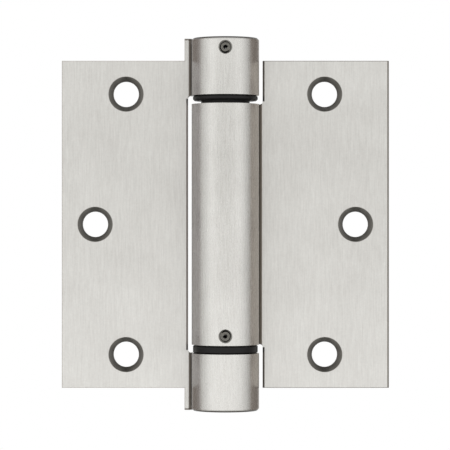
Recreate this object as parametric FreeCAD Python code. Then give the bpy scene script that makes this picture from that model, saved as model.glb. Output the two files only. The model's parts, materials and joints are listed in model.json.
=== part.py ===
"""Spring hinge, 3-1/2 inch: two steel leaves rolled round one barrel that holds a torsion spring.

Frame: millimetres, +Z up the barrel axis, +X towards the door leaf, the countersunk faces towards -Y.
Origin: on the barrel axis, half way up. The hinge is laid open flat, with both leaves in one plane.
"""
import FreeCAD, Part
import math
import os

Vector = FreeCAD.Vector

# Leaves: sheet steel with square corners
leaf_height = 88.9
leaf_reach = 44.45
leaf_gauge = 2.5
closed_gap = 1.6
edge_chamfer = 0.15
notch_chamfer = 0.5

# Barrel: three knuckles, each rolled from a strap of its leaf
barrel_radius = 9.15
barrel_overhang = 6.0
knuckle_length = 15.5
crease_setback = 0.8
crease_radius = 0.5
strap_bend_radius = 0.3
strap_shoulder = 0.2
notch_clearance = 1.0
notch_round = 0.8
seam_gap = 0.3
rim_chamfer = 0.5

# Screw holes: the middle one near the outer edge, the end ones set in from its line
screw_hole_radius = 3.45
countersink_radius = 4.72
countersink_angle = 82.0
screw_edge_margin = 9.05
screw_stagger = 8.4

# Fits
seat_clearance = 0.05
running_clearance = 0.05
thrust_clearance = 0.05

# Bushes: black acetal, one pressed in each end knuckle
upper_flange_thickness = 1.45
lift_play = 0.9
flange_inset = 0.35
flange_chamfer = 0.4
bush_spigot_length = 5.5
bush_journal_length = 6.0
bush_wall = 2.0

# Tension adjuster in the top knuckle
adjuster_recess = 0.6
key_socket_width = 5.0
key_socket_depth = 6.0
key_socket_wall = 0.65
tension_hole_count = 6
drill_point_angle = 118.0
drill_web_radius = 0.2

# Spring anchor in the foot of the middle knuckle
anchor_body_length = 7.0

# Arbors that carry the spring's ends, and the necks that pass through the bushes
neck_overrun = 0.5
arbor_length = 7.0
arbor_clearance = 0.7
arbor_slot_depth = 4.4
slot_clearance = 0.1
turned_chamfer = 0.5

# Bottom plug
plug_length = 6.0
plug_recess = 0.6
plug_dish_radius = 3.2
plug_dish_depth = 1.2

# Spring pins, coiled from strip. The strip's outer end lies at the end angle, seen from the front
pin_radius = 1.4
pin_strip = 0.28
pin_coil_gap = 0.04
pin_turns = 2.125
pin_points_per_turn = 16
tension_pin_end_angle = -45.0
anchor_pin_end_angle = 135.0
pin_recess = 0.25
pin_end_gap = 0.2
pin_mouth_chamfer = 0.35
tension_pin_setback = 2.95
anchor_pin_setback = 2.65
anchor_pin_stop = 1.5

# Torsion spring: flat wire on edge, wound left-handed so that opening the door winds it up
spring_wire_radial = 1.5
spring_wire_axial = 3.8
spring_coil_gap = 0.3
spring_bore_clearance = 0.55
tang_setback = 0.6
tang_corner = 1.2

# Places of the leaves and knuckles
X_AXIS = Vector(1, 0, 0)
Y_AXIS = Vector(0, 1, 0)
Z_AXIS = Vector(0, 0, 1)
ORIGIN = Vector(0, 0, 0)
same_place = 1e-6
hexagon_sides = 6
half_leaf = leaf_height / 2
leaf_front = closed_gap / 2
leaf_back = leaf_front + leaf_gauge
bore_radius = barrel_radius - leaf_gauge
notch_edge = barrel_radius + notch_clearance
barrel_end = half_leaf + barrel_overhang
knuckle_foot = barrel_end - knuckle_length
joint_gap = upper_flange_thickness + lift_play
middle_end = knuckle_foot - joint_gap
countersink_depth = (countersink_radius - screw_hole_radius) / math.tan(math.radians(countersink_angle / 2))

# Radii of what sits in the bore
seat_radius = bore_radius - seat_clearance
bush_bore_radius = seat_radius - bush_wall
neck_radius = bush_bore_radius - running_clearance
flange_radius = barrel_radius - flange_inset
spring_outer = bore_radius - spring_bore_clearance
spring_inner = spring_outer - spring_wire_radial
arbor_radius = spring_inner - arbor_clearance
key_corner = key_socket_width / 2 / math.cos(math.pi / hexagon_sides)
pin_hole_radius = pin_radius + seat_clearance
drill_point_depth = (pin_hole_radius - drill_web_radius) / math.tan(math.radians(drill_point_angle / 2))

# Angles of the roll: the strap's slope is tangent to the bore, and the seam stops short of the strap
crease_x = -barrel_radius - crease_setback
crease_angle = math.degrees(math.atan2(leaf_front, crease_x))
roll_start = crease_angle - math.degrees(math.acos(bore_radius / math.hypot(crease_x, leaf_front)))
roll_seam_angle = roll_start + math.degrees(math.acos((bore_radius - seam_gap) / barrel_radius)) - 360.0
strap_slope = roll_start - 90.0
roll_turn = math.radians(roll_start)
back_corner_x = (barrel_radius - leaf_back * math.sin(roll_turn)) / math.cos(roll_turn)
bend_start_x = back_corner_x - strap_bend_radius * math.tan(math.radians(strap_slope / 2))
strap_edge = strap_shoulder - bend_start_x

# Heights along the barrel axis
adjuster_top = barrel_end - adjuster_recess
adjuster_shoulder = knuckle_foot + bush_spigot_length + thrust_clearance
adjuster_neck_foot = middle_end - bush_journal_length - neck_overrun
adjuster_foot = adjuster_neck_foot - arbor_length
anchor_shoulder = -middle_end + anchor_body_length
anchor_top = anchor_shoulder + arbor_length
anchor_neck_foot = -knuckle_foot - bush_spigot_length - neck_overrun
upper_tang_height = adjuster_foot + arbor_slot_depth / 2
lower_tang_height = anchor_top - arbor_slot_depth / 2
tension_pin_height = barrel_end - tension_pin_setback
anchor_pin_height = -middle_end + anchor_pin_setback

# Depths of the pins, from the front of the barrel
pin_face = -barrel_radius + pin_recess
tension_hole_tip = -key_corner - key_socket_wall
tension_hole_floor = tension_hole_tip - drill_point_depth
tension_pin_back = tension_hole_floor - pin_end_gap
anchor_pin_back = bore_radius - anchor_pin_stop


def polar(radius, degrees, z):
    """A point at that radius and angle round the barrel axis."""
    angle = math.radians(degrees)
    return Vector(radius * math.cos(angle), radius * math.sin(angle), z)


def line(start, end):
    return Part.LineSegment(start, end).toShape()


def arc(start, middle, end):
    return Part.Arc(start, middle, end).toShape()


def closed_face(points):
    return Part.Face(Part.makePolygon(points + points[:1]))


def revolved(outline):
    """Turns an outline of (radius, height) points round the barrel axis."""
    return closed_face([Vector(radius, 0, z) for radius, z in outline]).revolve(ORIGIN, Z_AXIS, 360)


def circle_edges(solid, radius, height):
    """The round edges of that radius about the barrel axis at that height."""
    return [
        edge for edge in solid.Edges
        if isinstance(edge.Curve, Part.Circle)
        and abs(edge.Curve.Radius - radius) < same_place
        and abs(edge.BoundBox.ZMin - height) < same_place
        and abs(edge.BoundBox.ZMax - height) < same_place
    ]


def front_cylinder(radius, height, front, back):
    """A cylinder along Y, from y = front to y = back, at that height."""
    return Part.makeCylinder(radius, back - front, Vector(0, front, height), Y_AXIS)


def strap_turn(corner, radius):
    """A turn from the flat to the strap's slope: its end on the flat, its middle, its end on the slope."""
    flat_end = corner - radius * math.tan(math.radians(strap_slope / 2)) * X_AXIS
    centre = flat_end + radius * Y_AXIS
    middle = centre + polar(radius, strap_slope / 2 - 90.0, 0)
    slope_end = centre + polar(radius, strap_slope - 90.0, 0)
    return flat_end, middle, slope_end


def rolled_sheet():
    """The left leaf's sheet over the whole barrel: flat, slanted back, then rolled round to the seam."""
    foot = -barrel_end
    roll_middle = (roll_start + roll_seam_angle) / 2
    outer_front = Vector(-leaf_reach, leaf_front, foot)
    outer_back = Vector(-leaf_reach, leaf_back, foot)
    bore_start = polar(bore_radius, roll_start, foot)
    bore_seam = polar(bore_radius, roll_seam_angle, foot)
    roll_seam = polar(barrel_radius, roll_seam_angle, foot)
    roll_join = polar(barrel_radius, roll_start, foot)
    flat_front, crease_middle, crease_end = strap_turn(Vector(crease_x, leaf_front, foot), crease_radius)
    flat_back, bend_middle, bend_end = strap_turn(Vector(back_corner_x, leaf_back, foot), strap_bend_radius)
    outline = Part.Wire([
        line(outer_front, flat_front),
        arc(flat_front, crease_middle, crease_end),
        line(crease_end, bore_start),
        arc(bore_start, polar(bore_radius, roll_middle, foot), bore_seam),
        line(bore_seam, roll_seam),
        arc(roll_seam, polar(barrel_radius, roll_middle, foot), roll_join),
        line(roll_join, bend_end),
        arc(bend_end, bend_middle, flat_back),
        line(flat_back, outer_back),
        line(outer_back, outer_front),
    ])
    return Part.Face(outline).extrude(Vector(0, 0, 2 * barrel_end))


def flat_back_beside(foot, top):
    """The cut that keeps the leaf's back flat between those heights, where no strap leaves it."""
    corner = Vector(-leaf_reach, leaf_back, foot)
    return Part.makeBox(leaf_reach, barrel_radius, top - foot, corner)


def blank(corners, notch_heights):
    """The leaf's outline seen from the front, as a prism, with its notch corners rounded."""
    outline = closed_face([Vector(x, -barrel_radius, z) for x, z in corners])
    prism = outline.extrude(2 * barrel_radius * Y_AXIS)
    notch_corners = [
        edge for edge in prism.Edges
        if edge.BoundBox.YLength > barrel_radius
        and abs(edge.CenterOfMass.x + notch_edge) < same_place
        and min(abs(edge.CenterOfMass.z - height) for height in notch_heights) < same_place
    ]
    return prism.makeFillet(notch_round, notch_corners)


def with_broken_outline(leaf):
    """Breaks the cut edges round the outside of the sheet, on both faces."""
    outline = [
        edge for edge in leaf.Edges
        if edge.BoundBox.YLength < same_place
        and min(abs(edge.BoundBox.YMin - leaf_front), abs(edge.BoundBox.YMin - leaf_back)) < same_place
        and edge.BoundBox.XMax < same_place - notch_edge
        and edge.BoundBox.XMin < -same_place - notch_edge
    ]
    return leaf.makeChamfer(edge_chamfer, outline)


def notch_break(foot, top):
    """The cut that breaks both edges of a notch's straight side between those heights."""
    past = notch_chamfer - notch_edge
    far = -notch_edge - 2 * notch_chamfer
    wedges = []
    for face, inward in ((leaf_front, 1), (leaf_back, -1)):
        outside = face - inward * notch_chamfer
        deep = face + 2 * inward * notch_chamfer
        corners = [Vector(far, outside, foot), Vector(past, outside, foot), Vector(past, deep, foot)]
        wedges.append(closed_face(corners).extrude((top - foot) * Z_AXIS))
    return Part.makeCompound(wedges)


def screw_hole(reach, height):
    """The cut for a countersunk screw, from the leaf's front face."""
    place = Vector(-reach, leaf_front, height)
    through = Part.makeCylinder(screw_hole_radius, leaf_gauge, place, Y_AXIS)
    sink = Part.makeCone(countersink_radius, screw_hole_radius, countersink_depth, place, Y_AXIS)
    return through.fuse(sink)


def screw_holes():
    """The three screw holes of the left leaf."""
    middle_reach = leaf_reach - screw_edge_margin
    end_reach = middle_reach - screw_stagger
    end_height = half_leaf - screw_edge_margin
    return Part.makeCompound([
        screw_hole(end_reach, end_height),
        screw_hole(middle_reach, 0.0),
        screw_hole(end_reach, -end_height),
    ])


def pin_hole(height):
    """The cut for a spring pin through the front wall of a knuckle, with its mouth chamfered."""
    hole = front_cylinder(pin_hole_radius, height, -barrel_radius, 0.0)
    mouth = Part.makeCone(pin_hole_radius + 2 * pin_mouth_chamfer, pin_hole_radius, 2 * pin_mouth_chamfer,
                          Vector(0, -barrel_radius - pin_mouth_chamfer, height), Y_AXIS)
    return hole.fuse(mouth)


def frame_leaf():
    """The leaf that is screwed to the frame, with the two end knuckles."""
    past = 2 * barrel_radius
    notch = [
        (past, knuckle_foot),
        (-notch_edge, knuckle_foot),
        (-notch_edge, -knuckle_foot),
        (past, -knuckle_foot),
    ]
    top = [(-leaf_reach, half_leaf), (-strap_edge, half_leaf), (-strap_edge, barrel_end), (past, barrel_end)]
    bottom = [(x, -z) for x, z in reversed(top)]
    leaf = rolled_sheet().common(blank(top + notch + bottom, [knuckle_foot, -knuckle_foot]))
    leaf = leaf.cut(flat_back_beside(-knuckle_foot, knuckle_foot))
    rims = circle_edges(leaf, barrel_radius, barrel_end) + circle_edges(leaf, barrel_radius, -barrel_end)
    leaf = with_broken_outline(leaf.makeChamfer(rim_chamfer, rims))
    straight_end = knuckle_foot - notch_round
    return leaf.cut([notch_break(-straight_end, straight_end), screw_holes(), pin_hole(tension_pin_height)])


def door_leaf():
    """The leaf that is screwed to the door, with the long middle knuckle that holds the spring."""
    past = 2 * barrel_radius
    top = [(-leaf_reach, half_leaf), (-notch_edge, half_leaf), (-notch_edge, middle_end), (past, middle_end)]
    bottom = [(x, -z) for x, z in reversed(top)]
    leaf = rolled_sheet().common(blank(top + bottom, [middle_end, -middle_end]))
    leaf = leaf.cut([flat_back_beside(middle_end, barrel_end), flat_back_beside(-barrel_end, -middle_end)])
    leaf = with_broken_outline(leaf)
    straight_end = middle_end + notch_round
    breaks = [notch_break(straight_end, barrel_end), notch_break(-barrel_end, -straight_end)]
    leaf = leaf.cut(breaks + [screw_holes(), pin_hole(anchor_pin_height)])
    return leaf.mirror(ORIGIN, X_AXIS)


def with_chamfered_flange(bush, top, foot):
    """Chamfers both rims of a bush's flange."""
    rims = circle_edges(bush, flange_radius, top) + circle_edges(bush, flange_radius, foot)
    return bush.makeChamfer(flange_chamfer, rims)


def upper_bush():
    """The guide bush: a spigot in the top knuckle, a flange, and a journal in the middle knuckle."""
    journal_radius = bore_radius - running_clearance
    flange_foot = knuckle_foot - upper_flange_thickness
    journal_foot = middle_end - bush_journal_length
    spigot_top = knuckle_foot + bush_spigot_length
    body = revolved([
        (bush_bore_radius, journal_foot),
        (journal_radius, journal_foot),
        (journal_radius, flange_foot),
        (flange_radius, flange_foot),
        (flange_radius, knuckle_foot),
        (seat_radius, knuckle_foot),
        (seat_radius, spigot_top),
        (bush_bore_radius, spigot_top),
    ])
    return with_chamfered_flange(body, knuckle_foot, flange_foot)


def lower_bush():
    """The thrust bush: a spigot down in the bottom knuckle, and a flange that carries the middle knuckle."""
    flange_top = -middle_end - thrust_clearance
    spigot_foot = -knuckle_foot - bush_spigot_length
    body = revolved([
        (bush_bore_radius, spigot_foot),
        (seat_radius, spigot_foot),
        (seat_radius, -knuckle_foot),
        (flange_radius, -knuckle_foot),
        (flange_radius, flange_top),
        (bush_bore_radius, flange_top),
    ])
    return with_chamfered_flange(body, flange_top, -knuckle_foot)


def key_socket():
    """The cut of the hexagonal key socket, down from the adjuster's top."""
    step = 360.0 / hexagon_sides
    corners = [polar(key_corner, step * side, adjuster_top) for side in range(hexagon_sides)]
    return closed_face(corners).extrude(-key_socket_depth * Z_AXIS)


def tension_holes():
    """The ring of blind holes in the adjuster's head, any of which can take the tension pin."""
    straight = front_cylinder(pin_hole_radius, tension_pin_height, -bore_radius, tension_hole_floor)
    point = Part.makeCone(pin_hole_radius, drill_web_radius, drill_point_depth,
                          Vector(0, tension_hole_floor, tension_pin_height), Y_AXIS)
    hole = straight.fuse(point)
    holes = []
    for step in range(tension_hole_count):
        turned = hole.copy()
        turned.rotate(ORIGIN, Z_AXIS, 360.0 / tension_hole_count * step)
        holes.append(turned)
    return Part.makeCompound(holes)


def arbor_slot(foot):
    """The cut across the end of an arbor that takes the spring's tang."""
    width = spring_wire_radial + 2 * slot_clearance
    return Part.makeBox(2 * neck_radius, width, arbor_slot_depth, Vector(-neck_radius, -width / 2, foot))


def tension_adjuster():
    """The turned plug of the top knuckle: a head with a key socket and pin holes, a neck, a slotted arbor."""
    body = revolved([
        (0, adjuster_foot),
        (arbor_radius, adjuster_foot),
        (arbor_radius, adjuster_neck_foot),
        (neck_radius, adjuster_neck_foot),
        (neck_radius, adjuster_shoulder),
        (seat_radius, adjuster_shoulder),
        (seat_radius, adjuster_top - turned_chamfer),
        (seat_radius - turned_chamfer, adjuster_top),
        (0, adjuster_top),
    ])
    return body.cut([tension_holes(), key_socket(), arbor_slot(adjuster_foot)])


def spring_anchor():
    """The turned plug pinned in the middle knuckle: a slotted arbor, a body, a journal in the lower bush."""
    body = revolved([
        (0, anchor_neck_foot),
        (neck_radius - turned_chamfer, anchor_neck_foot),
        (neck_radius, anchor_neck_foot + turned_chamfer),
        (neck_radius, -middle_end),
        (seat_radius, -middle_end),
        (seat_radius, anchor_shoulder),
        (arbor_radius, anchor_shoulder),
        (arbor_radius, anchor_top),
        (0, anchor_top),
    ])
    cross_hole = front_cylinder(pin_hole_radius, anchor_pin_height, -bore_radius, bore_radius)
    return body.cut([cross_hole, arbor_slot(anchor_top - arbor_slot_depth)])


def bottom_plug():
    """The plug pressed in the bottom knuckle, with a chamfered rim and a dished end."""
    foot = -barrel_end + plug_recess
    return revolved([
        (0, foot + plug_dish_depth),
        (plug_dish_radius - plug_dish_depth, foot + plug_dish_depth),
        (plug_dish_radius, foot),
        (seat_radius - turned_chamfer, foot),
        (seat_radius, foot + turned_chamfer),
        (seat_radius, foot + plug_length),
        (0, foot + plug_length),
    ])


def pin_coil(radius, height, end_angle):
    """The line of one side of a pin's strip, wound in from that radius on the pin's front end."""
    points = []
    for step in range(round(pin_turns * pin_points_per_turn) + 1):
        turns = step / pin_points_per_turn
        angle = math.radians(end_angle + 360.0 * turns)
        reach = radius - turns * (pin_strip + pin_coil_gap)
        points.append(Vector(reach * math.cos(angle), pin_face, height + reach * math.sin(angle)))
    curve = Part.BSplineCurve()
    curve.interpolate(points)
    return curve.toShape(), points[0], points[-1]


def spring_pin(height, back, end_angle):
    """A spring pin along Y, coiled from strip round an open middle."""
    outer, outer_start, outer_end = pin_coil(pin_radius, height, end_angle)
    inner, inner_start, inner_end = pin_coil(pin_radius - pin_strip, height, end_angle)
    strip = Part.Wire([outer, line(outer_end, inner_end), inner, line(inner_start, outer_start)])
    return Part.Face(strip).extrude((back - pin_face) * Y_AXIS)


def tension_pin():
    return spring_pin(tension_pin_height, tension_pin_back, tension_pin_end_angle)


def anchor_pin():
    return spring_pin(anchor_pin_height, anchor_pin_back, anchor_pin_end_angle)


def spring_tang(height, free_side):
    """A straight end of the spring, bent in across the barrel axis, with the bend's outer corner rounded."""
    half = spring_wire_radial / 2
    inner_end = tang_setback - arbor_radius
    tang = Part.makeBox(spring_outer - inner_end, spring_wire_radial, spring_wire_axial,
                        Vector(inner_end, -half, height - spring_wire_axial / 2))
    corner = [
        edge for edge in tang.Edges
        if edge.BoundBox.ZLength > half
        and abs(edge.CenterOfMass.x - spring_outer) < same_place
        and abs(edge.CenterOfMass.y - free_side * half) < same_place
    ]
    return tang.makeFillet(tang_corner, corner)


def torsion_spring():
    """A coil of flat wire between the two arbors, with a tang at each end."""
    rise = upper_tang_height - lower_tang_height
    turns = math.floor(rise / (spring_wire_axial + spring_coil_gap))
    path = Part.makeLongHelix(rise / turns, rise, (spring_inner + spring_outer) / 2, 0, True)
    half = spring_wire_axial / 2
    corners = [(spring_inner, -half), (spring_outer, -half), (spring_outer, half), (spring_inner, half)]
    section = closed_face([Vector(x, 0, z) for x, z in corners]).OuterWire
    coil = Part.Wire(path.Edges).makePipeShell([section], True, True)
    coil.translate(lower_tang_height * Z_AXIS)
    return coil.fuse([spring_tang(lower_tang_height, 1), spring_tang(upper_tang_height, -1)])


pieces = {
    "frame_leaf": frame_leaf,
    "door_leaf": door_leaf,
    "upper_bush": upper_bush,
    "lower_bush": lower_bush,
    "tension_adjuster": tension_adjuster,
    "tension_pin": tension_pin,
    "torsion_spring": torsion_spring,
    "spring_anchor": spring_anchor,
    "anchor_pin": anchor_pin,
    "bottom_plug": bottom_plug,
}

os.makedirs("parts", exist_ok=True)
for name, make in pieces.items():
    shape = make()
    shape.exportStep(f"parts/{name}.step")
    print(f"{name}: {len(shape.Solids)} solid, {shape.Volume:.1f} mm3, valid {shape.isValid()}")
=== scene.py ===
"""Spring hinge, laid open flat: the looks of its ten pieces.

Metres, +Z up the barrel, seen from the -Y side.
"""
import json
import math

import bmesh
import bpy
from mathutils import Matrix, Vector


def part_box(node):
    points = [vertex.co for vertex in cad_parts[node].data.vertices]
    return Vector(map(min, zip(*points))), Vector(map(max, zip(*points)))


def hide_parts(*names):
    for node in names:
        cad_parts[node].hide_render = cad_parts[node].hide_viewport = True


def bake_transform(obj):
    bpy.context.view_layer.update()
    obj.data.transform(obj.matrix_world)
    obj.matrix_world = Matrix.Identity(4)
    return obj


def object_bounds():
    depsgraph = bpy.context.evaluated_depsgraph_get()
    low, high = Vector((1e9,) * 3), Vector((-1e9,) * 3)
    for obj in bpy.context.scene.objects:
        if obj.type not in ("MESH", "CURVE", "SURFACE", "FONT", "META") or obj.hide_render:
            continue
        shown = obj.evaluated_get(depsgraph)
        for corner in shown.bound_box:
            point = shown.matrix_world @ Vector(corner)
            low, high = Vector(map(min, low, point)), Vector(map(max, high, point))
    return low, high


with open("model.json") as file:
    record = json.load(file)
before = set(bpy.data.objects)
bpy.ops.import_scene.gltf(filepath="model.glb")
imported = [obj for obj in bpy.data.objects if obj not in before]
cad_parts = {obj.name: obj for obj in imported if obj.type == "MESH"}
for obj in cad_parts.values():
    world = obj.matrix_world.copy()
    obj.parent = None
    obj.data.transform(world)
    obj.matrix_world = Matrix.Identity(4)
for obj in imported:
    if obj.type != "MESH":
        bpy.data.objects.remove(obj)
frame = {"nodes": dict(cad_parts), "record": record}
cad_low, cad_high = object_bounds()

# Leaves
# Two leaves of 2.5 mm sheet steel, sheared square, with straps rolled forward into the three knuckles.
# They are ground along their height, countersunk for three screws each, and plated in satin nickel.
millimetre = 0.001
barrel_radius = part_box("frame_leaf")[1][0]
barrel_edge_blur = 0.3 * millimetre

# Real hairlines are about 0.05 mm wide. They are drawn 0.3 mm wide so that they show.
# The grain leans a little off the barrel's axis, so that the faces square to that axis have one too.
hairline_width = 0.3 * millimetre
hairline_length = 5 * millimetre
hairline_depth = 0.02 * millimetre
hairline_bump = 0.08
speckle_width = 0.5 * millimetre
speckle_share = 0.3
cloud_width = 14 * millimetre
cloud_share = 0.25
grain_axis = (0.02, 0.01, 1.0)
grain_pull = 0.9

# Roughness of the knuckles, of the leaves, of the cut holes, and what a hairline adds
buffed_roughness = 0.21
ground_roughness = 0.3
cut_roughness = 0.45
hairline_roughness = 0.12

countersink_radius = 4.72 * millimetre
sink_edge_blur = 0.12 * millimetre
cutter_mark_spacing = 0.35 * millimetre
cutter_mark_share = 0.15
pin_mouth_radius = 1.8 * millimetre
crease_reach = 9.6 * millimetre
crease_depth = 1.15 * millimetre
crease_half_width = 0.5 * millimetre
broken_edge_slant = math.cos(math.pi / 4)
broken_edge_spread = 0.05
sheared_band = 0.45 * millimetre
flank_start = 0.69 * barrel_radius
flank_full = 0.78 * barrel_radius


def linear(hex_colour):
    """A colour written as sRGB hex, as linear RGBA."""
    channels = [int(hex_colour[place:place + 2], 16) / 255 for place in (1, 3, 5)]
    bent = [value / 12.92 if value <= 0.04045 else ((value + 0.055) / 1.055) ** 2.4 for value in channels]
    return (*bent, 1.0)


def add_node(tree, kind, inputs=None, stops=(), **settings):
    """Adds a node with its settings and colour stops, and sets or links each of its inputs."""
    node = tree.nodes.new(kind)
    for name, value in settings.items():
        setattr(node, name, value)
    for name, value in (inputs or {}).items():
        if isinstance(value, bpy.types.NodeSocket):
            tree.links.new(value, node.inputs[name])
        else:
            node.inputs[name].default_value = value
    if stops:
        elements = node.color_ramp.elements
        while len(elements) < len(stops):
            elements.new(1.0)
        for element, (position, tone) in zip(elements, stops):
            element.position = position
            element.color = linear(tone)
    return node


def new_material(name):
    """A material with an empty node tree, and that tree."""
    material = bpy.data.materials.new(name)
    material.use_nodes = True
    material.node_tree.nodes.clear()
    return material, material.node_tree


def ground_face(tree, place):
    """The upright hairlines that grinding leaves, and the plate's colour over them, specked and clouded."""
    hairline_scale = (1 / hairline_width, 1 / hairline_width, 1 / hairline_length)
    hairline_place = add_node(tree, "ShaderNodeMapping", {"Vector": place, "Scale": hairline_scale})
    hairlines = add_node(tree, "ShaderNodeTexNoise", {
        "Vector": hairline_place.outputs["Vector"], "Scale": 1.0, "Detail": 4.0, "Roughness": 0.65,
    }).outputs["Fac"]
    speckle = add_node(tree, "ShaderNodeTexNoise", {
        "Vector": place, "Scale": 1 / speckle_width, "Detail": 2.0, "Roughness": 0.6,
    }).outputs["Fac"]
    clouds = add_node(tree, "ShaderNodeTexNoise", {
        "Vector": place, "Scale": 1 / cloud_width, "Detail": 3.0, "Roughness": 0.55,
    }).outputs["Fac"]
    streaks = add_node(tree, "ShaderNodeMix", {
        "Factor": speckle_share, "A": hairlines, "B": speckle,
    }, data_type="FLOAT").outputs["Result"]
    patches = add_node(tree, "ShaderNodeMix", {
        "Factor": cloud_share, "A": streaks, "B": clouds,
    }, data_type="FLOAT").outputs["Result"]
    colour = add_node(tree, "ShaderNodeValToRGB", {
        "Fac": patches,
    }, stops=((0.34, "#B8B6B2"), (0.66, "#CBCAC6"))).outputs["Color"]
    return hairlines, colour


def cut_holes(tree, place, depth, folded):
    """Where the countersinks and the pins' mouths are cut, and their dark tone, a painted shade deepening
    toward the hole, ringed by the cutter.
    """
    places = {mount["name"]: mount for mount in frame["record"]["mounts"]}
    screw_hole_radius = places["door_leaf_middle_screw"]["dims"]["r_mm"] * millimetre
    leaf_back = places["door_leaf_back"]["pos_m"][1]
    end_reach = places["door_leaf_screws"]["pos_m"][0]
    end_height = places["door_leaf_screws"]["dims"]["spacing_y_mm"] / 2 * millimetre
    middle_reach = places["door_leaf_middle_screw"]["pos_m"][0]
    flat = add_node(tree, "ShaderNodeVectorMath", {0: folded, 1: (1, 0, 1)}, operation="MULTIPLY")
    from_end = add_node(tree, "ShaderNodeVectorMath", {
        0: flat.outputs["Vector"], 1: (end_reach, 0, end_height),
    }, operation="DISTANCE").outputs["Value"]
    from_middle = add_node(tree, "ShaderNodeVectorMath", {
        0: flat.outputs["Vector"], 1: (middle_reach, 0, 0),
    }, operation="DISTANCE").outputs["Value"]
    from_hole = add_node(tree, "ShaderNodeMath", {
        0: from_end, 1: from_middle,
    }, operation="MINIMUM").outputs["Value"]
    in_ring = add_node(tree, "ShaderNodeMapRange", {
        "Value": from_hole, "From Min": countersink_radius + sink_edge_blur, "From Max": countersink_radius,
    }).outputs["Result"]
    off_the_back = add_node(tree, "ShaderNodeMath", {
        0: depth, 1: leaf_back - sink_edge_blur,
    }, operation="LESS_THAN").outputs["Value"]
    in_cut = add_node(tree, "ShaderNodeMath", {
        0: in_ring, 1: off_the_back,
    }, operation="MULTIPLY").outputs["Value"]
    for pin_name in ("tension_pin", "anchor_pin"):
        pin_low, pin_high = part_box(pin_name)
        from_mouth = add_node(tree, "ShaderNodeVectorMath", {
            0: place, 1: (0, -barrel_radius, (pin_low[2] + pin_high[2]) / 2),
        }, operation="DISTANCE").outputs["Value"]
        in_mouth = add_node(tree, "ShaderNodeMapRange", {
            "Value": from_mouth, "From Min": pin_mouth_radius + sink_edge_blur, "From Max": pin_mouth_radius,
        }).outputs["Result"]
        in_cut = add_node(tree, "ShaderNodeMath", {
            0: in_cut, 1: in_mouth,
        }, operation="MAXIMUM").outputs["Value"]
    cutter_turn = add_node(tree, "ShaderNodeMath", {
        0: from_hole, 1: math.tau / cutter_mark_spacing,
    }, operation="MULTIPLY").outputs["Value"]
    cutter_marks = add_node(tree, "ShaderNodeMath", {0: cutter_turn}, operation="SINE").outputs["Value"]
    # Painted shade: the countersink's tone darkens toward the hole
    up_the_sink = add_node(tree, "ShaderNodeMapRange", {
        "Value": from_hole, "From Min": screw_hole_radius, "From Max": countersink_radius,
    }).outputs["Result"]
    level = add_node(tree, "ShaderNodeMath", {
        0: cutter_marks, 1: cutter_mark_share, 2: up_the_sink,
    }, operation="MULTIPLY_ADD").outputs["Value"]
    tone = add_node(tree, "ShaderNodeValToRGB", {
        "Fac": level,
    }, stops=((0.0, "#605E5A"), (1.0, "#7C7A75"))).outputs["Color"]
    return in_cut, tone


def painted_edge_shade(tree, spot, folded_spot, facing, on_knuckle, on_door_leaf):
    """Where the edges are broken or sheared, and their tone.

    The knuckles' rims, the door leaf's edges and the sheared ends of the straps are painted with dark shade.
    The frame leaf's broken edges are painted with a paler shade.
    """
    turned = add_node(tree, "ShaderNodeVectorMath", {0: facing}, operation="ABSOLUTE").outputs["Vector"]
    turned_along = add_node(tree, "ShaderNodeSeparateXYZ", {"Vector": turned}).outputs
    leaf_chamfer, rim_chamfer = [
        add_node(tree, "ShaderNodeMath", {
            0: turned_along[direction], 1: broken_edge_slant, 2: broken_edge_spread,
        }, operation="COMPARE").outputs["Value"]
        for direction in ("Y", "Z")
    ]
    at_strap_end = add_node(tree, "ShaderNodeMath", {
        0: folded_spot["Z"], 1: cad_high[2] - sheared_band,
    }, operation="GREATER_THAN").outputs["Value"]
    at_door_edge = add_node(tree, "ShaderNodeMath", {
        0: spot["X"], 1: cad_high[0] - sheared_band,
    }, operation="GREATER_THAN").outputs["Value"]
    at_shear = add_node(tree, "ShaderNodeMath", {
        0: at_strap_end, 1: at_door_edge,
    }, operation="MAXIMUM").outputs["Value"]
    on_flat = add_node(tree, "ShaderNodeMath", {
        0: turned_along["Y"], 1: broken_edge_slant,
    }, operation="GREATER_THAN").outputs["Value"]
    on_shear = add_node(tree, "ShaderNodeMath", {
        0: at_shear, 1: on_flat,
    }, operation="MULTIPLY").outputs["Value"]
    on_leaf_edge = add_node(tree, "ShaderNodeMath", {
        0: leaf_chamfer, 1: on_shear,
    }, operation="MAXIMUM").outputs["Value"]
    on_edge = add_node(tree, "ShaderNodeMix", {
        "Factor": on_knuckle, "A": on_leaf_edge, "B": rim_chamfer,
    }, data_type="FLOAT").outputs["Result"]
    # Painted shade: the door leaf's edges and the straps' sheared ends take the darker edge tone, the frame
    # leaf's edges the paler one
    on_darker_edge_shade = add_node(tree, "ShaderNodeMath", {
        0: on_door_leaf, 1: on_shear,
    }, operation="MAXIMUM").outputs["Value"]
    leaf_edge_painted_shade = add_node(tree, "ShaderNodeMix", {
        "Factor": on_darker_edge_shade, 6: linear("#BCB7B1"), 7: linear("#77726C"),
    }, data_type="RGBA").outputs[2]
    # Painted shade: the knuckles' rims are near black
    tone = add_node(tree, "ShaderNodeMix", {
        "Factor": on_knuckle, 6: leaf_edge_painted_shade, 7: linear("#484541"),
    }, data_type="RGBA").outputs[2]
    return on_edge, tone


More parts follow.
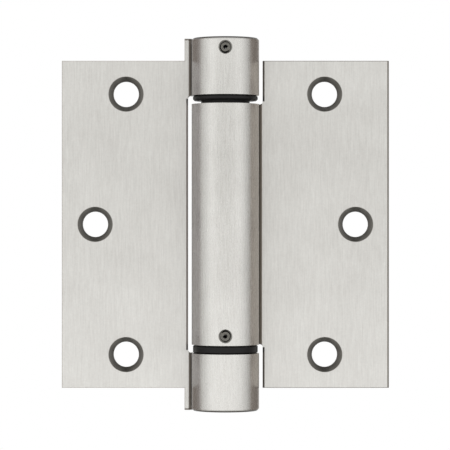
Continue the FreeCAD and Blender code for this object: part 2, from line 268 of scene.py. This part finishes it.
def satin_nickel_plate():
    """Nickel plate over a ground face: a broad soft sheen, drawn out across fine upright hairlines.

    The knuckles are buffed smoother than the leaves. Their flanks are painted with shade: a darker grey,
    warmer on the right.
    The holes are cut after the grinding; their dark tone is painted shade, deepest toward the hole. The
    creases beside the knuckles are painted with dark shade.
    """
    material, tree = new_material("satin_nickel_plate")
    on_piece = add_node(tree, "ShaderNodeTexCoord").outputs
    place = on_piece["Object"]
    facing = on_piece["Normal"]
    folded = add_node(tree, "ShaderNodeVectorMath", {0: place}, operation="ABSOLUTE").outputs["Vector"]
    spot = add_node(tree, "ShaderNodeSeparateXYZ", {"Vector": place}).outputs
    folded_spot = add_node(tree, "ShaderNodeSeparateXYZ", {"Vector": folded}).outputs
    across = add_node(tree, "ShaderNodeVectorMath", {
        0: folded, 1: (1, 1, 0),
    }, operation="MULTIPLY").outputs["Vector"]
    from_axis = add_node(tree, "ShaderNodeVectorMath", {0: across}, operation="LENGTH").outputs["Value"]
    on_knuckle = add_node(tree, "ShaderNodeMath", {
        0: from_axis, 1: barrel_radius + barrel_edge_blur,
    }, operation="LESS_THAN").outputs["Value"]
    on_door_leaf = add_node(tree, "ShaderNodeMath", {
        0: spot["X"], 1: 0.0,
    }, operation="GREATER_THAN").outputs["Value"]
    # Painted shade on the knuckles' flanks, darker towards their sides
    near_side = add_node(tree, "ShaderNodeMapRange", {
        "Value": folded_spot["X"], "From Min": flank_start, "From Max": flank_full,
    }).outputs["Result"]
    flank_painted_shade = add_node(tree, "ShaderNodeMath", {
        0: near_side, 1: on_knuckle,
    }, operation="MULTIPLY").outputs["Value"]
    # Painted shade: a dark line in the creases beside the knuckles
    from_crease = add_node(tree, "ShaderNodeVectorMath", {
        0: across, 1: (crease_reach, crease_depth, 0),
    }, operation="DISTANCE").outputs["Value"]
    crease_painted_shade = add_node(tree, "ShaderNodeMapRange", {
        "Value": from_crease, "From Min": crease_half_width, "From Max": crease_half_width - sink_edge_blur,
    }).outputs["Result"]
    hairlines, plate_colour = ground_face(tree, place)
    in_cut, cut_painted_shade = cut_holes(tree, place, spot["Y"], folded)
    on_edge, edge_painted_shade = painted_edge_shade(tree, spot, folded_spot, facing, on_knuckle, on_door_leaf)

    # The painted shade's tint: greyer on the left flank, warmer on the right
    flank_shade_tint = add_node(tree, "ShaderNodeMix", {
        "Factor": on_door_leaf, 6: linear("#E2DFE2"), 7: linear("#EBE4DF"),
    }, data_type="RGBA").outputs[2]
    flank_shaded_colour = add_node(tree, "ShaderNodeMix", {
        "Factor": flank_painted_shade, 6: plate_colour, 7: flank_shade_tint,
    }, data_type="RGBA", blend_type="MULTIPLY").outputs[2]
    edged_colour = add_node(tree, "ShaderNodeMix", {
        "Factor": on_edge, 6: flank_shaded_colour, 7: edge_painted_shade,
    }, data_type="RGBA").outputs[2]
    cut_colour = add_node(tree, "ShaderNodeMix", {
        "Factor": in_cut, 6: edged_colour, 7: cut_painted_shade,
    }, data_type="RGBA").outputs[2]
    # The creases' painted shade
    colour = add_node(tree, "ShaderNodeMix", {
        "Factor": crease_painted_shade, 6: cut_colour, 7: linear("#8A847C"),
    }, data_type="RGBA").outputs[2]

    dullness = add_node(tree, "ShaderNodeMapRange", {
        "Value": from_axis, "From Min": barrel_radius, "From Max": barrel_radius + barrel_edge_blur,
        "To Min": buffed_roughness, "To Max": ground_roughness,
    }).outputs["Result"]
    plate_roughness = add_node(tree, "ShaderNodeMath", {
        0: hairlines, 1: hairline_roughness, 2: dullness,
    }, operation="MULTIPLY_ADD").outputs["Value"]
    roughness = add_node(tree, "ShaderNodeMix", {
        "Factor": in_cut, "A": plate_roughness, "B": cut_roughness,
    }, data_type="FLOAT").outputs["Result"]
    relief = add_node(tree, "ShaderNodeBump", {
        "Height": hairlines, "Strength": hairline_bump, "Distance": hairline_depth,
    }).outputs["Normal"]
    across_grain = add_node(tree, "ShaderNodeVectorMath", {
        0: grain_axis, 1: facing,
    }, operation="CROSS_PRODUCT").outputs["Vector"]
    swung_grain = add_node(tree, "ShaderNodeVectorTransform", {
        "Vector": across_grain,
    }, vector_type="VECTOR", convert_from="OBJECT", convert_to="WORLD").outputs["Vector"]
    shader = add_node(tree, "ShaderNodeBsdfPrincipled", {
        "Base Color": colour, "Metallic": 1.0, "Roughness": roughness, "Anisotropic": grain_pull,
        "Normal": relief, "Tangent": swung_grain,
    })
    add_node(tree, "ShaderNodeOutputMaterial", {"Surface": shader.outputs["BSDF"]})
    return material


def dress(node_name, material):
    """Gives a node of the frame its finish."""
    piece = frame["nodes"][node_name]
    piece.data.materials.clear()
    piece.data.materials.append(material)


leaf_finish = satin_nickel_plate()
for leaf in ("frame_leaf", "door_leaf"):
    dress(leaf, leaf_finish)

# Bushes
# Two flanged bushes moulded in black acetal, each pressed into an end knuckle.
# Their flanges keep the three knuckles apart and show as black rings.
mould_grain = 0.25 * millimetre
mould_grain_depth = 0.02 * millimetre
mould_grain_bump = 0.15


def black_acetal():
    """Moulded acetal: nearly black, with a soft sheen broken by the mould's fine spark-eroded grain."""
    material, tree = new_material("black_acetal")
    place = add_node(tree, "ShaderNodeTexCoord").outputs["Object"]
    grain = add_node(tree, "ShaderNodeTexNoise", {
        "Vector": place, "Scale": 1 / mould_grain, "Detail": 3.0, "Roughness": 0.6,
    }).outputs["Fac"]
    colour = add_node(tree, "ShaderNodeValToRGB", {
        "Fac": grain,
    }, stops=((0.3, "#0D0C0C"), (0.7, "#161414")))
    roughness = add_node(tree, "ShaderNodeMapRange", {
        "Value": grain, "From Min": 0.3, "From Max": 0.7, "To Min": 0.36, "To Max": 0.48,
    }).outputs["Result"]
    relief = add_node(tree, "ShaderNodeBump", {
        "Height": grain, "Strength": mould_grain_bump, "Distance": mould_grain_depth,
    }).outputs["Normal"]
    shader = add_node(tree, "ShaderNodeBsdfPrincipled", {
        "Base Color": colour.outputs["Color"], "Roughness": roughness, "Normal": relief,
        "IOR": 1.48, "Specular IOR Level": 0.22,
    })
    add_node(tree, "ShaderNodeOutputMaterial", {"Surface": shader.outputs["BSDF"]})
    return material


bush_finish = black_acetal()
for bush in ("upper_bush", "lower_bush"):
    dress(bush, bush_finish)

# Turned pieces
# The tension adjuster in the top knuckle, the spring anchor in the middle one and the plug in the bottom one.
# They are turned from round steel bar and zinc plated.
tool_mark_spacing = 0.6 * millimetre
tool_mark_depth = 0.01 * millimetre
tool_mark_bump = 0.2
plate_patch = 4 * millimetre
patch_share = 0.6
wave_radians = 20


def zinc_plated_turned_steel():
    """Zinc plate over a turned face: cool grey, with fine rings about the axis and faint patches.

    A wave texture at scale 1 runs through 20 radians in each metre.
    """
    material, tree = new_material("zinc_plated_turned_steel")
    place = add_node(tree, "ShaderNodeTexCoord").outputs["Object"]
    rings = add_node(tree, "ShaderNodeTexWave", {
        "Vector": place, "Scale": math.tau / wave_radians / tool_mark_spacing,
        "Distortion": 0.4, "Detail": 2.0,
    }, wave_type="RINGS", rings_direction="Z").outputs["Fac"]
    patches = add_node(tree, "ShaderNodeTexNoise", {
        "Vector": place, "Scale": 1 / plate_patch, "Detail": 3.0,
    }).outputs["Fac"]
    tone = add_node(tree, "ShaderNodeMix", {
        "Factor": patch_share, "A": rings, "B": patches,
    }, data_type="FLOAT").outputs["Result"]
    colour = add_node(tree, "ShaderNodeValToRGB", {
        "Fac": tone,
    }, stops=((0.25, "#A8ABAE"), (0.75, "#C3C5C6")))
    roughness = add_node(tree, "ShaderNodeMapRange", {
        "Value": patches, "From Min": 0.3, "From Max": 0.7, "To Min": 0.26, "To Max": 0.4,
    }).outputs["Result"]
    relief = add_node(tree, "ShaderNodeBump", {
        "Height": rings, "Strength": tool_mark_bump, "Distance": tool_mark_depth,
    }).outputs["Normal"]
    shader = add_node(tree, "ShaderNodeBsdfPrincipled", {
        "Base Color": colour.outputs["Color"], "Metallic": 1.0, "Roughness": roughness, "Normal": relief,
    })
    add_node(tree, "ShaderNodeOutputMaterial", {"Surface": shader.outputs["BSDF"]})
    return material


turned_finish = zinc_plated_turned_steel()
for turned_piece in ("tension_adjuster", "spring_anchor", "bottom_plug"):
    dress(turned_piece, turned_finish)

# Spring pins
# Two pins coiled from spring steel strip and hardened.
# One locks the tension adjuster in the top knuckle, the other holds the spring anchor in the middle one.
strip_streak_width = 0.3 * millimetre
strip_streak_length = 3 * millimetre


def oiled_spring_steel(name, dark, light):
    """Hardened spring steel left with its oil: dark grey, half bright, with fine rolling streaks."""
    material, tree = new_material(name)
    place = add_node(tree, "ShaderNodeTexCoord").outputs["Object"]
    streak_scale = (1 / strip_streak_width, 1 / strip_streak_length, 1 / strip_streak_width)
    streak_place = add_node(tree, "ShaderNodeMapping", {"Vector": place, "Scale": streak_scale})
    streaks = add_node(tree, "ShaderNodeTexNoise", {
        "Vector": streak_place.outputs["Vector"], "Scale": 1.0, "Detail": 3.0, "Roughness": 0.6,
    }).outputs["Fac"]
    colour = add_node(tree, "ShaderNodeValToRGB", {
        "Fac": streaks,
    }, stops=((0.3, dark), (0.7, light)))
    roughness = add_node(tree, "ShaderNodeMapRange", {
        "Value": streaks, "From Min": 0.3, "From Max": 0.7, "To Min": 0.28, "To Max": 0.42,
    }).outputs["Result"]
    shader = add_node(tree, "ShaderNodeBsdfPrincipled", {
        "Base Color": colour.outputs["Color"], "Metallic": 1.0, "Roughness": roughness,
    })
    add_node(tree, "ShaderNodeOutputMaterial", {"Surface": shader.outputs["BSDF"]})
    return material


pin_finish = oiled_spring_steel("oiled_pin_steel", "#595752", "#787670")
for pin in ("tension_pin", "anchor_pin"):
    dress(pin, pin_finish)

# Torsion spring
# Flat spring wire wound on its flat, left-handed, inside the middle knuckle, with each end bent in.
# The upper tang sits in the adjuster's slot, on the frame leaf's side.
# The lower tang sits in the spring anchor's slot, on the door leaf's side.
spring_low, spring_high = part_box("torsion_spring")
wire_radial = 1.5 * millimetre
wire_axial = 3.8 * millimetre
wire_edge_round = 0.12 * millimetre
wire_edge_segments = 2
sharp_edge_angle = math.radians(40)
smooth_shading_angle = math.radians(30)
coil_turns = 10
steps_per_turn = 40
tang_end = -3.3 * millimetre
tang_bend_radius = 1.1 * millimetre
tang_bend_segments = 5
near = 0.05 * millimetre

coil_outer = spring_high[0]
coil_middle = coil_outer - wire_radial / 2
coil_inner = coil_outer - wire_radial
lower_tang = spring_low[2] + wire_axial / 2
upper_tang = spring_high[2] - wire_axial / 2
tang_angle = math.asin(wire_radial / 2 / coil_middle)
coil_angle = coil_turns * math.tau - 2 * tang_angle
rise_per_angle = (upper_tang - lower_tang) / (coil_turns * math.tau)

bpy.ops.object.select_all(action="DESELECT")
bpy.ops.mesh.primitive_plane_add(size=1.0)
spring = bpy.context.object
spring.name = "torsion_spring_wire"
bpy.ops.object.mode_set(mode="EDIT")
bpy.ops.transform.resize(value=(wire_radial, wire_axial, 1.0))
bpy.ops.transform.rotate(value=math.pi / 2, orient_axis="X", center_override=(0, 0, 0))
bpy.ops.transform.translate(value=(coil_middle, 0, lower_tang + tang_angle * rise_per_angle))
bpy.ops.transform.rotate(value=tang_angle, orient_axis="Z", center_override=(0, 0, 0))
bpy.ops.mesh.delete(type="ONLY_FACE")
bpy.ops.object.mode_set(mode="OBJECT")
winding = spring.modifiers.new("winding", "SCREW")
winding.axis = "Z"
winding.angle = -coil_angle
winding.screw_offset = coil_angle * rise_per_angle
winding.steps = coil_turns * steps_per_turn
winding.render_steps = coil_turns * steps_per_turn
bpy.ops.object.modifier_apply(modifier="winding")


def pick(parts, test):
    """Selects those faces or edges of the mesh being edited whose middle passes a test, and nothing else."""
    bpy.ops.mesh.select_all(action="DESELECT")
    for part in parts:
        corners = [corner.co for corner in part.verts]
        part.select_set(test(sum(corners[1:], corners[0].copy()) / len(corners)))


bpy.ops.object.mode_set(mode="EDIT")
bpy.ops.mesh.select_all(action="SELECT")
bpy.ops.mesh.fill_holes(sides=4)
bpy.ops.mesh.normals_make_consistent(inside=False)
for tang_height, free_side in ((lower_tang, 1), (upper_tang, -1)):
    wire = bmesh.from_edit_mesh(spring.data)
    cap_y = -free_side * wire_radial / 2
    cap_z = tang_height + free_side * tang_angle * rise_per_angle
    bpy.ops.mesh.select_mode(type="FACE")
    pick(wire.faces, lambda middle: (
        middle.x > 0 and abs(middle.y - cap_y) < near and abs(middle.z - cap_z) < near))
    bpy.ops.mesh.extrude_region_move(TRANSFORM_OT_translate={"value": (0, free_side * wire_radial, 0)})
    bpy.ops.transform.resize(value=(1, 0, 1), center_override=(0, -cap_y, 0))
    wire = bmesh.from_edit_mesh(spring.data)
    pick(wire.faces, lambda middle: (
        abs(middle.x - coil_inner) < 2 * near and abs(middle.y) < 2 * near and abs(middle.z - cap_z) < near))
    bpy.ops.mesh.extrude_region_move(TRANSFORM_OT_translate={"value": (tang_end - coil_inner, 0, 0)})
    wire = bmesh.from_edit_mesh(spring.data)
    bpy.ops.mesh.select_mode(type="EDGE")
    pick(wire.edges, lambda middle: (
        middle.x > coil_outer - 2 * near and abs(middle.y + cap_y) < near and abs(middle.z - cap_z) < near))
    bpy.ops.mesh.bevel(offset=tang_bend_radius, segments=tang_bend_segments)
bpy.ops.object.mode_set(mode="OBJECT")
rolled_edges = spring.modifiers.new("rolled_edges", "BEVEL")
rolled_edges.width = wire_edge_round
rolled_edges.segments = wire_edge_segments
rolled_edges.limit_method = "ANGLE"
rolled_edges.angle_limit = sharp_edge_angle
bpy.ops.object.modifier_apply(modifier="rolled_edges")
bpy.ops.object.shade_smooth_by_angle(angle=smooth_shading_angle)
spring.data.materials.append(oiled_spring_steel("oil_tempered_spring_wire", "#4E4A46", "#6B6660"))
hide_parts("torsion_spring")
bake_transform(spring)

# Studio
# A white room with grey flags and soft boxes round the hinge, which only its reflections show.
# The camera stands straight in front, as far off as the photograph's perspective says.
camera_distance = 0.68
view_width = 0.12218
sensor_width = 36.0
camera_side = -0.0001
camera_height = -0.00018
floor_height = -0.4
floor_radius = 3.5
floor_sides = 96
floor_roughness = 0.8

camera_data = bpy.data.cameras.new("camera")
camera_data.sensor_width = sensor_width
camera_data.lens = sensor_width * camera_distance / view_width
camera = bpy.data.objects.new("camera", camera_data)
camera.location = (camera_side, -camera_distance, camera_height)
camera.rotation_euler = (math.pi / 2, 0, 0)
bpy.context.scene.collection.objects.link(camera)
bpy.context.scene.camera = camera

world = bpy.data.worlds.new("white_room")
world.use_nodes = True
world.node_tree.nodes.clear()
room = add_node(world.node_tree, "ShaderNodeBackground", {"Color": (1, 1, 1, 1), "Strength": 1.0})
add_node(world.node_tree, "ShaderNodeOutputWorld", {"Surface": room.outputs["Background"]})
bpy.context.scene.world = world


def studio_card(name, tone, strength, corners):
    """A flat glowing card that only reflections show, and its material's node tree."""
    mesh = bpy.data.meshes.new(name)
    mesh.from_pydata(corners, [], [(0, 1, 2, 3)])
    card = bpy.data.objects.new(name, mesh)
    bpy.context.scene.collection.objects.link(card)
    card.visible_camera = False
    card.visible_diffuse = False
    card.visible_shadow = False
    material, tree = new_material(name)
    glow = add_node(tree, "ShaderNodeEmission", {"Color": linear(tone), "Strength": strength})
    add_node(tree, "ShaderNodeOutputMaterial", {"Surface": glow.outputs["Emission"]})
    mesh.materials.append(material)
    return tree


# Grey flags beside the barrel, which give its sides their dark bands
flag_reach = 0.45
flag_back = 0.78
flag_half_height = 0.6
for name, tone, reach, front in (
    ("flag_left", "#9C9389", -flag_reach, 0.008),
    ("flag_right", "#928D89", flag_reach, -0.05),
):
    studio_card(name, tone, 1.0, [
        (reach, front, -flag_half_height),
        (reach, flag_back, -flag_half_height),
        (reach, flag_back, flag_half_height),
        (reach, front, flag_half_height),
    ])

# Behind the camera, a soft box whose fade the leaves show: brightest low down, dimmest just over the camera
front_distance = 1.3
front_half_width = 1.2
front_foot = -0.39
front_top = 0.7
front_glow = 1.65
front_fade = (
    (-0.25, "#FFFFFF"), (-0.12, "#F0F0F0"), (-0.06, "#E6E6E6"), (0.0, "#DAD9D8"),
    (0.05, "#C6C6C5"), (0.08, "#C5C5C4"), (0.13, "#DDDDDC"), (0.22, "#EEEEEE"),
)
front_tree = studio_card("soft_box_front", "#FFFFFF", front_glow, [
    (-front_half_width, -front_distance, front_foot),
    (front_half_width, -front_distance, front_foot),
    (front_half_width, -front_distance, front_top),
    (-front_half_width, -front_distance, front_top),
])
front_place = add_node(front_tree, "ShaderNodeTexCoord").outputs["Object"]
front_height = add_node(front_tree, "ShaderNodeSeparateXYZ", {"Vector": front_place}).outputs["Z"]
front_level = add_node(front_tree, "ShaderNodeMapRange", {
    "Value": front_height, "From Min": front_foot, "From Max": front_top,
}).outputs["Result"]
front_ramp = add_node(front_tree, "ShaderNodeValToRGB", {
    "Fac": front_level,
}, stops=[((height - front_foot) / (front_top - front_foot), tone) for height, tone in front_fade])
front_tree.links.new(front_ramp.outputs["Color"], front_tree.nodes["Emission"].inputs["Color"])

# Soft boxes to either side of the camera, which brighten the barrel's shoulders
soft_box_distance = 1.2
soft_box_half_height = 0.8
soft_box_inner = math.radians(35)
soft_box_outer = math.radians(62)
for name, side, strength in (("soft_box_left", -1, 1.5), ("soft_box_right", 1, 1.4)):
    inner_x = side * soft_box_distance * math.sin(soft_box_inner)
    inner_y = -soft_box_distance * math.cos(soft_box_inner)
    outer_x = side * soft_box_distance * math.sin(soft_box_outer)
    outer_y = -soft_box_distance * math.cos(soft_box_outer)
    studio_card(name, "#FFFFFF", strength, [
        (inner_x, inner_y, -soft_box_half_height),
        (outer_x, outer_y, -soft_box_half_height),
        (outer_x, outer_y, soft_box_half_height),
        (inner_x, inner_y, soft_box_half_height),
    ])

bpy.ops.object.select_all(action="DESELECT")
bpy.ops.mesh.primitive_circle_add(
    vertices=floor_sides, radius=floor_radius, fill_type="NGON", location=(0, 0, floor_height))
floor = bpy.context.object
floor.name = "floor"
floor_paint, floor_tree = new_material("floor_paint")
floor_shader = add_node(floor_tree, "ShaderNodeBsdfPrincipled", {
    "Base Color": linear("#FDFDFC"), "Roughness": floor_roughness,
})
add_node(floor_tree, "ShaderNodeOutputMaterial", {"Surface": floor_shader.outputs["BSDF"]})
floor.data.materials.append(floor_paint)

view_settings = bpy.context.scene.view_settings
view_settings.view_transform = "Standard"
